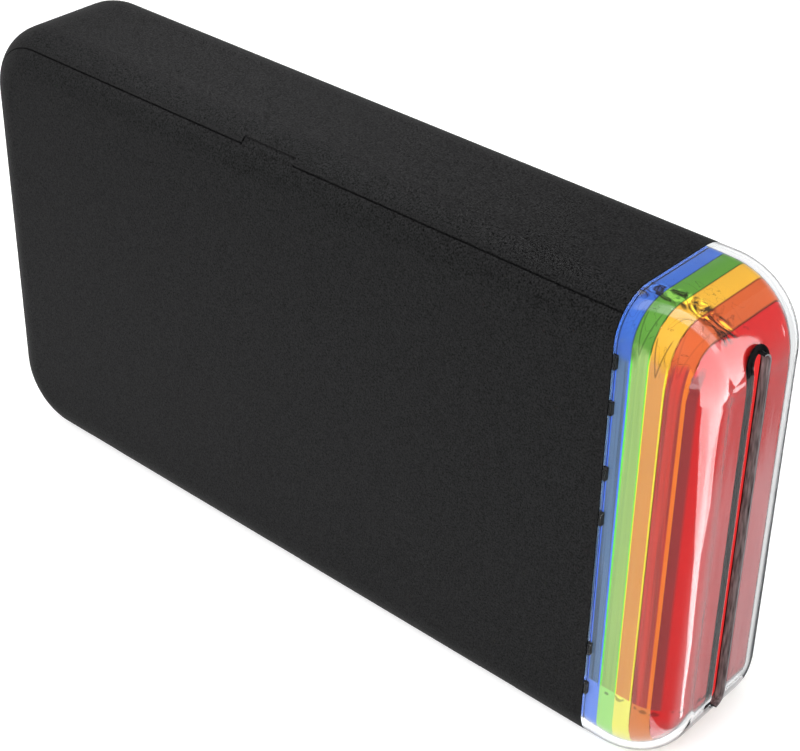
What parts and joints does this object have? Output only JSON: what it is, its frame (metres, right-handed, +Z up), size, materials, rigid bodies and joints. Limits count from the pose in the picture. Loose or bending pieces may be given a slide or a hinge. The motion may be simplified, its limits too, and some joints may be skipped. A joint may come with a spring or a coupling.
{
  "type": "pocket photo printer",
  "caption": "Flat rounded pocket photo printer with a hinged cartridge cover, a clear end cap over coloured rings and a paper slot in its end face.",
  "frame": {"origin": "on the surface that the printer stands on, under the middle of its body", "axes": "+X along the body towards the paper slot, +Y from the hinged cover to the back, +Z up"},
  "size_m": [0.15, 0.0274, 0.08],
  "materials": {
    "shell_black": "fine matt grain",
    "cover_black": "fine matt grain",
    "clear": "clear polished plastic",
    "blue": "glossy",
    "green": "glossy",
    "yellow": "glossy",
    "orange": "glossy",
    "red": "glossy",
    "black_gloss": "glossy",
    "dark_plastic": "matt",
    "frame_grey": "matt",
    "nylon": "satin",
    "steel": "plain",
    "aluminium": "extruded",
    "brass": "turned",
    "rubber": "ground",
    "board_green": "solder mask",
    "chip_black": "moulded",
    "cell_wrap": "foil",
    "ceramic": "glazed",
    "cartridge_grey": "matt",
    "ribbon_dye": "film",
    "paper": "coated",
    "wire": "insulated",
    "light_pipe": "frosted"
  },
  "bodies": {
    "housing": {"base_shell": "shell_black", "hinge_pin": "steel", "end_frame": "dark_plastic", "clear_end_cap": "clear", "blue_ring": "blue", "green_ring": "green", "yellow_ring": "yellow", "orange_ring": "orange", "red_end_insert": "red", "slot_bezel": "black_gloss", "exit_guide": "dark_plastic", "feed_guide": "dark_plastic", "status_light": "light_pipe", "usb_socket": "steel", "chassis_frame": "frame_grey", "frame_screws": "steel", "main_board": "board_green", "board_components": "chip_black", "battery_pack": "cell_wrap", "battery_lead": "wire", "lower_side_plate": "steel", "upper_side_plate": "steel", "roller_bushes": "nylon", "gear_studs": "steel", "pinch_holders": "nylon", "drive_motor": "steel", "bracket_pins": "steel", "bracket_springs": "steel", "cover_sensor": "chip_black", "cartridge_tub": "cartridge_grey", "cartridge_lid": "cartridge_grey", "pressure_plate": "frame_grey", "pressure_spring": "steel", "paper_stack": "paper", "ribbon_web": "ribbon_dye"},
    "cover": {"cartridge_cover": "cover_black", "cover_magnet": "steel"},
    "head_bracket_assembly": {"head_bracket": "steel", "head_heat_sink": "aluminium", "thermal_head": "ceramic"},
    "platen_roller": {"platen_shaft": "steel", "platen_rubber": "rubber", "platen_gear": "nylon"},
    "grip_roller_assembly": {"grip_roller": "steel", "grip_gear": "nylon"},
    "pinch_roller_body": {"pinch_roller": "steel"},
    "pickup_roller": {"pickup_shaft": "steel", "pickup_tyres": "rubber", "pickup_gear": "nylon"},
    "reduction_gear_body": {"reduction_gear": "nylon"},
    "feed_idler_body": {"feed_idler": "nylon"},
    "pickup_idler_body": {"pickup_idler": "nylon"},
    "takeup_idler_body": {"takeup_idler": "nylon"},
    "motor_rotor": {"motor_pinion": "brass"},
    "takeup_spool_assembly": {"takeup_spool": "nylon", "takeup_ribbon": "ribbon_dye"},
    "supply_spool_assembly": {"supply_spool": "nylon", "supply_ribbon": "ribbon_dye"},
    "power_button_body": {"power_button": "dark_plastic"}
  },
  "joints": [
    {"name": "cover_hinge", "type": "hinge", "parent": "housing", "child": "cover", "pos_m": [0, -0.01087, 0.00351], "axis": [1, 0, 0], "range_deg": [0, 85]},
    {"name": "head_bracket_pivot", "type": "hinge", "parent": "housing", "child": "head_bracket_assembly", "pos_m": [0.05459, -0.0094, 0.04], "axis": [0, 0, 1], "range_deg": [0, 34]},
    {"name": "platen_spin", "type": "hinge", "parent": "housing", "child": "platen_roller", "pos_m": [0.0414, 0.00352, 0.04], "axis": [0, 0, 1], "continuous": true},
    {"name": "grip_spin", "type": "hinge", "parent": "housing", "child": "grip_roller_assembly", "pos_m": [0.03258, 0.00162, 0.04], "axis": [0, 0, 1], "continuous": true},
    {"name": "pinch_spin", "type": "hinge", "parent": "housing", "child": "pinch_roller_body", "pos_m": [0.03258, -0.00302, 0.04], "axis": [0, 0, 1], "continuous": true},
    {"name": "pickup_spin", "type": "hinge", "parent": "housing", "child": "pickup_roller", "pos_m": [0.01779, 0.00202, 0.04], "axis": [0, 0, 1], "continuous": true},
    {"name": "reduction_spin", "type": "hinge", "parent": "housing", "child": "reduction_gear_body", "pos_m": [0.04829, 0.00142, 0.04], "axis": [0, 0, 1], "continuous": true},
    {"name": "feed_idler_spin", "type": "hinge", "parent": "housing", "child": "feed_idler_body", "pos_m": [0.03477, 0.00634, 0.04], "axis": [0, 0, 1], "continuous": true},
    {"name": "pickup_idler_spin", "type": "hinge", "parent": "housing", "child": "pickup_idler_body", "pos_m": [0.02578, 0.00162, 0.04], "axis": [0, 0, 1], "continuous": true},
    {"name": "takeup_idler_spin", "type": "hinge", "parent": "housing", "child": "takeup_idler_body", "pos_m": [0.05323, -0.00019, 0.04], "axis": [0, 0, 1], "continuous": true},
    {"name": "motor_spin", "type": "hinge", "parent": "housing", "child": "motor_rotor", "pos_m": [0.05356, 0.00689, 0.04], "axis": [0, 0, 1], "continuous": true},
    {"name": "takeup_spin", "type": "hinge", "parent": "housing", "child": "takeup_spool_assembly", "pos_m": [0.05219, -0.0061, 0.04], "axis": [0, 0, 1], "continuous": true},
    {"name": "supply_spin", "type": "hinge", "parent": "housing", "child": "supply_spool_assembly", "pos_m": [0.02659, -0.0061, 0.04], "axis": [0, 0, 1], "continuous": true},
    {"name": "power_button_press", "type": "slide", "parent": "housing", "child": "power_button_body", "axis": [1, 0, 0], "range_m": [0, 0.0005], "stiffness_N_per_m": 300, "springref_m": -0.0005}
  ],
  "couplings": [
    {"joint": "head_bracket_pivot", "follows": "cover_hinge", "ratio": 0.4},
    {"joint": "grip_spin", "follows": "platen_spin", "ratio": 1.7143},
    {"joint": "pinch_spin", "follows": "platen_spin", "ratio": -2.9714},
    {"joint": "pickup_spin", "follows": "platen_spin", "ratio": 1.2},
    {"joint": "reduction_spin", "follows": "platen_spin", "ratio": -2},
    {"joint": "feed_idler_spin", "follows": "platen_spin", "ratio": -2},
    {"joint": "pickup_idler_spin", "follows": "platen_spin", "ratio": -1.2},
    {"joint": "takeup_idler_spin", "follows": "platen_spin", "ratio": 1.7143},
    {"joint": "motor_spin", "follows": "platen_spin", "ratio": 5.6},
    {"joint": "takeup_spin", "follows": "platen_spin", "ratio": -1.5},
    {"joint": "supply_spin", "follows": "platen_spin", "ratio": 1.125}
  ]
}
